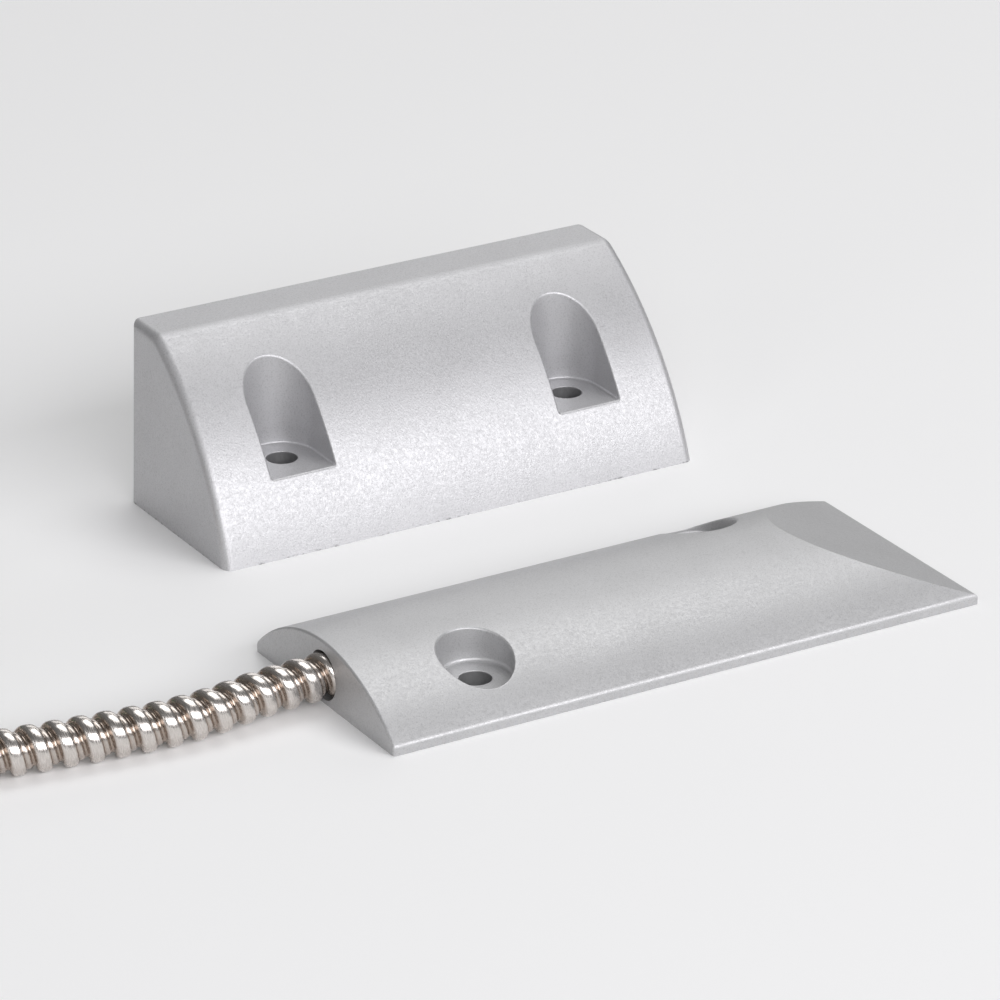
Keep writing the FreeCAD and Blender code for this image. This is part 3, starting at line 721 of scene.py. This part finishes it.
def crown_ends(thing, radius, steps):
    """Draw both end faces out in shrinking steps, so that the outline of each end is a quarter round."""
    only(thing)
    for side in (-1, 1):
        bpy.ops.object.mode_set(mode="EDIT")
        bpy.ops.mesh.select_mode(type="FACE")
        bpy.ops.mesh.select_all(action="DESELECT")
        mesh = bmesh.from_edit_mesh(thing.data)
        for face in mesh.faces:
            face.select = face.normal.x * side > 0.9
        bmesh.update_edit_mesh(thing.data)
        for i in range(steps):
            before, after = (math.radians(90 * k / steps) for k in (i, i + 1))
            bpy.ops.mesh.inset(thickness=radius * (math.cos(before) - math.cos(after)) * MM,
                               depth=radius * (math.sin(after) - math.sin(before)) * MM,
                               use_even_offset=True, use_boundary=True)
        bpy.ops.object.mode_set(mode="OBJECT")
    return thing


def magnet_shell():
    """The magnet's casting: round front, flat top and back, two pockets with bores, the room inside."""
    middle_y, middle_z = front_axis()

    def beside_hole(v):
        return min(abs(v.x - x) for x, _ in MAGNET_HOLES)

    def crease(edge):
        first, last = ends_of(edge)
        along = abs(first.x - last.x) > 0.8 * MAGNET_LONG
        before_back = max(first.y, last.y) < MAGNET_BACK - 1
        return along and before_back and level_at(MAGNET_TALL)(edge) and sharp(edge, 12)

    def on_rim(v):
        away = math.hypot(v.y - middle_y, v.z - middle_z)
        near = beside_hole(v) < POCKET_WIDE / 2 + 0.05 and v.z > POCKET_FLOOR - 0.05
        return near and abs(away - MAGNET_ROUND) < 2 * CLOSE

    def rim(edge):
        return all(on_rim(v) for v in ends_of(edge)) and sharp(edge, 12)

    def pocket_wall(v):
        """True on the upright walls of the pockets, above the fillets of their floors."""
        aside, behind = beside_hole(v), v.y - MAGNET_HOLES[0][1]
        away = aside if behind < 0 else math.hypot(aside, behind)
        upright = v.z > POCKET_FLOOR + POCKET_FILLET + 0.1 and v.y < MAGNET_BACK - 10
        return upright and abs(away - POCKET_WIDE / 2) < 2.5 * CLOSE

    def bore_rim(edge):
        near = all(min(math.hypot(v.x - x, v.y - y) for x, y in MAGNET_HOLES) < BORE / 2 + 0.1
                   for v in ends_of(edge))
        return near and level_at(POCKET_FLOOR)(edge) and sharp(edge)

    shell = drafted_front("magnet_shell", 0, CORNER_ROUND)
    round_edges(shell, CREASE_ROUND, 5, crease)
    crown_ends(shell, CORNER_ROUND, 7)
    cut_flat(shell, (0, 0, 0), (0, 0, -1))
    room = cut_flat(drafted_front("magnet_room", MAGNET_WALL), (0, 0, 0), (0, 0, -1))
    cut_across(shell, *beside([x for x, _ in MAGNET_HOLES], POCKET_WIDE))
    for x, y in MAGNET_HOLES:
        shape(room, "DIFFERENCE", pocket_tool(x, POCKET_WALL, -1, 0))
        shape(shell, "DIFFERENCE", pocket_tool(x, 0, POCKET_FLOOR, POCKET_FILLET),
              rod("bore", BORE, (x, y, -1), (x, y, MAGNET_TALL), BORE_SIDES))
    tidy_mesh(shape(shell, "DIFFERENCE", room), 0.1)
    round_edges(shell, POCKET_ROUND, 3, rim)
    merge_near(shell, MERGE_GAP, pocket_wall)
    round_edges(shell, BORE_ROUND, 2, bore_rim)
    return smooth(tidy_mesh(shell))


# Cords ------------------------------------------------------------------------------------------
def line(name, points):
    """A curve of one NURBS spline with the given points, in millimetres, as its control points."""
    curve = bpy.data.curves.new(name, "CURVE")
    curve.dimensions = "3D"
    curve.resolution_u = 16
    spline = curve.splines.new("NURBS")
    spline.points.add(len(points) - 1)
    for point, place in zip(spline.points, points):
        point.co = (*(Vector(place) * MM), 1.0)
    spline.order_u = 3
    spline.use_endpoint_u = True
    return new_object(name, curve)


def read_points(thing):
    """The points that a curve's spline runs through."""
    mesh = bpy.data.meshes.new_from_object(thing)
    points = [v.co.copy() for v in mesh.vertices]
    bpy.data.meshes.remove(mesh)
    return points


def length_of(points):
    return sum((b - a).length for a, b in zip(points, points[1:]))


def on_coil(turn, high=0.0):
    """A place on the coil's middle line, in millimetres, at an angle and a height."""
    return COIL_CENTRE + Vector((COIL_RADIUS * math.cos(turn), COIL_RADIUS * math.sin(turn), high))


def coil_points():
    """The coil's turns, clockwise seen from above: the second climbs on to the first."""
    first, last = COIL_CLIMB
    points = []
    for i in range(COIL_POINTS + 1):
        run = COIL_TURN * i / COIL_POINTS
        share = min(max((run - first) / (last - first), 0), 1)
        high = CABLE_HIGH + COIL_STEP * share * share * (3 - 2 * share)
        points.append(on_coil(math.radians(-90 - run), high))
    return points


class Track:
    """Places and level frames along a line of points, by the distance along it."""

    def __init__(self, points):
        total = length_of(points)
        count = round(total / (TRACK_STEP * MM))
        self.step = total / count
        self.total = total
        places = []
        done = 0.0
        k = 0
        for i in range(count + 1):
            want = i * self.step
            while k < len(points) - 2 and done + (points[k + 1] - points[k]).length < want:
                done += (points[k + 1] - points[k]).length
                k += 1
            span = points[k + 1] - points[k]
            places.append(points[k] + span * ((want - done) / span.length))
        self.places = places
        self.ways = []
        for i in range(len(places)):
            way = places[min(i + 3, count)] - places[max(i - 3, 0)]
            self.ways.append(way.normalized())
        side = Vector((0, 0, 1)).cross(self.ways[0]).normalized()
        self.sides = []
        for way in self.ways:
            side = (side - way * side.dot(way)).normalized()
            self.sides.append(side)

    def at(self, distance):
        """The place, the way along, and two directions across."""
        spot = min(max(distance / self.step, 0), len(self.places) - 1.001)
        i = int(spot)
        share = spot - i
        way = self.ways[i].lerp(self.ways[i + 1], share).normalized()
        side = self.sides[i].lerp(self.sides[i + 1], share)
        side = (side - way * side.dot(way)).normalized()
        place = self.places[i].lerp(self.places[i + 1], share)
        place = place + way * (distance - min(max(distance, 0), self.total))
        return place, way, side, way.cross(side)


# One pitch of the wound strip: (share of the pitch, drop below the crest in millimetres).
STRIP = ((0.0, 0.5), (0.03, 0.28), (0.075, 0.12), (0.14, 0.03), (0.22, 0.0), (0.35, 0.0), (0.44, 0.055),
         (0.51, 0.19), (0.56, 0.42), (0.59, 0.7), (0.62, 0.96), (0.66, 1.06), (0.715, 1.02), (0.77, 0.87),
         (0.825, 0.75), (0.885, 0.72), (0.94, 0.75), (0.975, 0.78))


def wound_armour(name, track):
    """A tube wound from one profiled strip, right-handed, closed at both ends."""
    around = ARMOUR_SIDES
    pitch = ARMOUR_PITCH * MM
    crest = ARMOUR_WIDE / 2 * MM
    turns = int(track.total / pitch) + 3
    mesh = bmesh.new()
    depth = mesh.verts.layers.float.new("along")
    rows = []
    for h in range(-2 * around, turns * around):
        row = []
        turn = 2 * math.pi * h / around
        for share, drop in STRIP:
            distance = (h / around + share) * pitch
            place, _, side, up = track.at(distance)
            out = side * math.cos(turn) + up * math.sin(turn)
            vert = mesh.verts.new(place + out * (crest - drop * MM))
            vert[depth] = distance
            row.append(vert)
        rows.append(row)
    last = len(STRIP) - 1
    uv = mesh.loops.layers.uv.new("winding")
    for h in range(len(rows) - 1):
        for j in range(len(STRIP)):
            if j < last:
                quad = (rows[h][j], rows[h][j + 1], rows[h + 1][j + 1], rows[h + 1][j])
                high = STRIP[j + 1][0]
            elif h + 1 + around < len(rows):
                quad = (rows[h][j], rows[h + around][0], rows[h + 1 + around][0], rows[h + 1][j])
                high = 1.0
            else:
                continue
            face = mesh.faces.new(quad)
            face.smooth = True
            low = STRIP[j][0]
            for loop, spot in zip(face.loops, ((h, low), (h, high), (h + 1, high), (h + 1, low))):
                loop[uv].uv = spot
    near_end = 2.5 * pitch
    for end, outwards in ((0, -1), (track.total, 1)):
        place, way, _, _ = track.at(end)
        verts = [v for v in mesh.verts if (v[depth] - end) * outwards > -near_end]
        known = set(verts)
        edges = [e for e in mesh.edges if e.verts[0] in known and e.verts[1] in known]
        faces = [f for f in mesh.faces if all(v in known for v in f.verts)]
        cut = bmesh.ops.bisect_plane(mesh, geom=verts + edges + faces, plane_co=place,
                                     plane_no=way * outwards, clear_outer=True, dist=CUT_GAP)
        rim = [e for e in cut["geom_cut"] if isinstance(e, bmesh.types.BMEdge)]
        made = bmesh.ops.contextual_create(mesh, geom=rim)
        bmesh.ops.triangulate(mesh, faces=made["faces"])
    bmesh.ops.recalc_face_normals(mesh, faces=mesh.faces)
    data = bpy.data.meshes.new(name)
    mesh.to_mesh(data)
    mesh.free()
    return new_object(name, data)


def armour():
    """The whole cable, and the points that it follows."""
    route = [MOUTH + Vector(point) for point in ARMOUR_ROUTE] + coil_points()
    guide = line("armour_line", route)
    points = read_points(guide)
    bpy.data.objects.remove(guide, do_unlink=True)
    return wound_armour("armour_hose", Track(points)), points


def lead_route(name):
    return [COIL_CENTRE + Vector(point) for point in LEAD_ROUTES[name]]


def lead(name):
    """One insulated wire, and the points that it follows."""
    curve = line("lead_wire_" + name, lead_route(name))
    points = read_points(curve)
    curve.data.bevel_depth = WIRE_WIDE / 2 * MM
    curve.data.bevel_resolution = 5
    curve.data.use_fill_caps = True
    return curve, points


def strand_bundle(name):
    """Thin wires out of the end of one lead, laid round a middle one with a slight twist."""
    route = lead_route(name)
    way = (route[-1] - route[-2]).normalized()
    side = way.cross(Vector((0, 0, 1))).normalized()
    up = side.cross(way)
    thin = CORE_WIDE / 6 * 0.98
    curve = bpy.data.curves.new("strands_" + name, "CURVE")
    curve.dimensions = "3D"
    curve.bevel_depth = thin * MM
    curve.bevel_resolution = 2
    curve.use_fill_caps = True
    for i in range(STRANDS):
        spline = curve.splines.new("POLY")
        spline.points.add(STRAND_POINTS - 1)
        away = 2 * thin if i < STRANDS - 1 else 0
        for k, point in enumerate(spline.points):
            share = k / (STRAND_POINTS - 1)
            turn = 2 * math.pi * (i / (STRANDS - 1) + STRAND_TURNS * share)
            out = (side * math.cos(turn) + up * math.sin(turn)) * away
            place = route[-1] + way * (TIP_LONG * share - TIP_TUCK) + out
            point.co = (*(place * MM), 1.0)
    only(new_object(curve.name, curve))
    bpy.ops.object.convert(target="MESH")
    return bpy.context.object


# Ferrule and ties on the cable ------------------------------------------------------------------
def turned_sleeve(name, profile, place, way, sides=64):
    """A sleeve drawn out ring by ring: profile is (distance along, radius), all round its wall."""
    clear_selection()
    start, radius = profile[0]
    bpy.ops.mesh.primitive_circle_add(vertices=sides, radius=radius * MM, location=(0, 0, start * MM),
                                      fill_type="NOTHING")
    thing = bpy.context.object
    thing.name = name
    settle(thing)
    bpy.ops.object.mode_set(mode="EDIT")
    bpy.ops.mesh.select_all(action="SELECT")
    for along, wide in profile[1:] + profile[:1]:
        bpy.ops.mesh.extrude_edges_move(TRANSFORM_OT_translate={"value": (0, 0, (along - start) * MM)})
        bpy.ops.transform.resize(value=(wide / radius, wide / radius, 1), center_override=(0, 0, 0))
        start, radius = along, wide
    bpy.ops.object.mode_set(mode="OBJECT")
    thing.location = Vector(place) * MM
    thing.rotation_euler = Vector(way).to_track_quat("Z", "Y").to_euler()
    settle(thing)
    return smooth(tidy_mesh(thing, 0.002), 40)


def ferrule():
    """The brass sleeve crimped on the cable's end in three grooves, with a turned-in lip."""
    place = on_coil(COIL_END, CABLE_HIGH + COIL_STEP)
    way = Vector((math.sin(COIL_END), -math.cos(COIL_END), 0))
    outer = ARMOUR_WIDE / 2 + 0.3
    grip, end = FERRULE_GRIP, FERRULE_LONG
    profile = [(-grip, outer - 0.22), (-grip + 0.1, outer - 0.06), (-grip + 0.3, outer)]
    for middle in (-2.6, 2.2, 5.0):
        profile += [(middle - 0.7, outer), (middle - 0.45, outer - 0.12), (middle, outer - 0.2),
                    (middle + 0.45, outer - 0.12), (middle + 0.7, outer)]
    profile += [(end - 0.3, outer), (end - 0.1, outer - 0.06), (end, outer - 0.22),
                (end, outer - 0.64), (0.3, outer - 0.64), (0.0, outer - 0.26), (-grip, outer - 0.25)]
    return turned_sleeve("ferrule_sleeve", profile, place, way)


def coil_tie(number, angle):
    """A nylon tie round both turns: strap, ratchet head on the outside, and a cut tail."""
    skin = ARMOUR_WIDE / 2 + COIL_SKIN
    low, high = CABLE_HIGH, CABLE_HIGH + COIL_STEP
    middle = (low + high) / 2

    def right_angle(edge):
        return sharp(edge, 60)

    def slot_block(name, radius, depth):
        body = block(name, (-radius, -depth / 2, low), (radius, depth / 2, high))
        for z in (low, high):
            shape(body, "UNION", rod(name + "_end", 2 * radius, (0, -depth / 2, z), (0, depth / 2, z)))
        return body

    strap = slot_block("coil_tie_%d" % number, skin + TIE_THICK, TIE_WIDE)
    round_edges(strap, 0.25, 3, right_angle)
    shape(strap, "DIFFERENCE", slot_block("tie_room", skin, 3 * TIE_WIDE))
    head = block("tie_head", (skin + 0.5, -2.5, middle - 2.5), (skin + 3.9, 2.5, middle + 2.5))
    round_edges(head, 0.55, 4, right_angle)
    slit = block("tie_slit", (skin + 1.5, -1.8, middle - 4), (skin + 2.9, 1.8, middle + 4))
    shape(head, "DIFFERENCE", slit)
    tail = block("tie_tail", (skin + 1.6, -1.7, middle - 2.2), (skin + 2.8, 1.7, middle + 3.6))
    round_edges(tail, 0.2, 2, right_angle)
    shape(strap, "UNION", head, tail)
    turn = math.radians(angle)
    strap.rotation_euler = (0, 0, turn)
    strap.location = on_coil(turn) * MM
    settle(strap)
    return smooth(tidy_mesh(strap), 40)


# Making everything ------------------------------------------------------------------------------
def make_camera():
    back = Vector((math.sin(CAMERA_TURN) * math.cos(CAMERA_RISE),
                   -math.cos(CAMERA_TURN) * math.cos(CAMERA_RISE), math.sin(CAMERA_RISE)))
    data = bpy.data.cameras.new("camera")
    data.sensor_width = 36.0
    data.lens = CAMERA_LENS
    data.clip_end = 20.0
    camera = new_object("camera", data)
    camera.location = CAMERA_AIM + back * CAMERA_AWAY
    camera.rotation_mode = "QUATERNION"
    camera.rotation_quaternion = (-back).to_track_quat("-Z", "Y")
    bpy.context.scene.camera = camera


def make_light(name, place, size, power, colour):
    data = bpy.data.lights.new(name, "AREA")
    data.shape = "RECTANGLE"
    data.size, data.size_y = size
    data.energy = power
    data.color = colour
    light = new_object(name, data)
    light.location = place
    light.rotation_mode = "QUATERNION"
    light.rotation_quaternion = (LIGHT_AIM - place).to_track_quat("-Z", "Y")


def make_stage():
    clear_selection()
    bpy.ops.mesh.primitive_plane_add(size=FLOOR_WIDE, location=(0, 0, 0))
    floor = bpy.context.object
    floor.name = "studio_floor"
    paper = bpy.data.materials.new("studio_paper")
    paper.use_nodes = True
    shader = paper.node_tree.nodes["Principled BSDF"]
    shader.inputs["Base Color"].default_value = (FLOOR_TONE, FLOOR_TONE, FLOOR_TONE, 1)
    shader.inputs["Roughness"].default_value = 0.9
    shader.inputs["Specular IOR Level"].default_value = 0.1
    floor.data.materials.append(paper)
    world = bpy.data.worlds.new("studio_air")
    bpy.context.scene.world = world
    world.use_nodes = True
    air = world.node_tree.nodes["Background"]
    air.inputs["Color"].default_value = (1, 1, 1, 1)
    air.inputs["Strength"].default_value = AIR_STRENGTH
    bpy.context.scene.view_settings.view_transform = "Standard"


NODE_FINISHES = {
    "switch_potting": "epoxy_fill", "magnet_potting": "epoxy_fill", "reed_glass": "reed_glass",
    "reed_armature": "contact_metal", "reed_contact_open": "contact_metal",
    "reed_contact_closed": "contact_metal", "reed_common_lead": "contact_metal",
    "reed_board": "board_laminate", "reed_solder_joints": "solder_metal",
    "inner_wire_common": "insulation_black", "inner_wire_open": "insulation_white",
    "inner_wire_closed": "insulation_green", "inner_wire_cores": "tinned_copper",
    "cable_anchor_plate": "plate_steel", "throat_bushing": "bushing_nylon",
    "armour_end_bushing": "bushing_nylon", "magnet_bar": "magnet_ferrite",
}


def make_pieces():
    piece(switch_shell(), "switch_unit", "cast_silver", FINISHES["switch_silver"], "switch_housing")
    piece(magnet_shell(), "magnet_unit", "cast_silver", FINISHES["magnet_silver"], "magnet_housing")
    hose, points = armour()
    piece(hose, "switch_unit", "armour_steel", FINISHES["armour_steel"], "armour_run", "armour_coil")
    sleeve = piece(ferrule(), "switch_unit", "ferrule_brass", FINISHES["ferrule_brass"],
                   "armour_end_ferrule")
    for number, angle in enumerate(TIE_ANGLES, start=1):
        piece(coil_tie(number, angle), "switch_unit", "tie_nylon", FINISHES["tie_nylon"],
                          "coil_ties")
    for name in LEAD_ROUTES:
        wire, points = lead(name)
        piece(wire, "switch_unit", LEAD_SLOTS[name], FINISHES[LEAD_SLOTS[name]], "lead_" + name)
        tip = piece(strand_bundle(name), "switch_unit", "tinned_copper", FINISHES["tinned_copper"],
                    "lead_tips")
    for node, finish in NODE_FINISHES.items():
        thing = bpy.data.objects[node]
        if not thing.material_slots:
            thing.data.materials.append(None)
        for spot in thing.material_slots:
            spot.material = FINISHES[finish]


make_camera()
make_stage()
for light in LIGHTS:
    make_light(*light)
make_pieces()
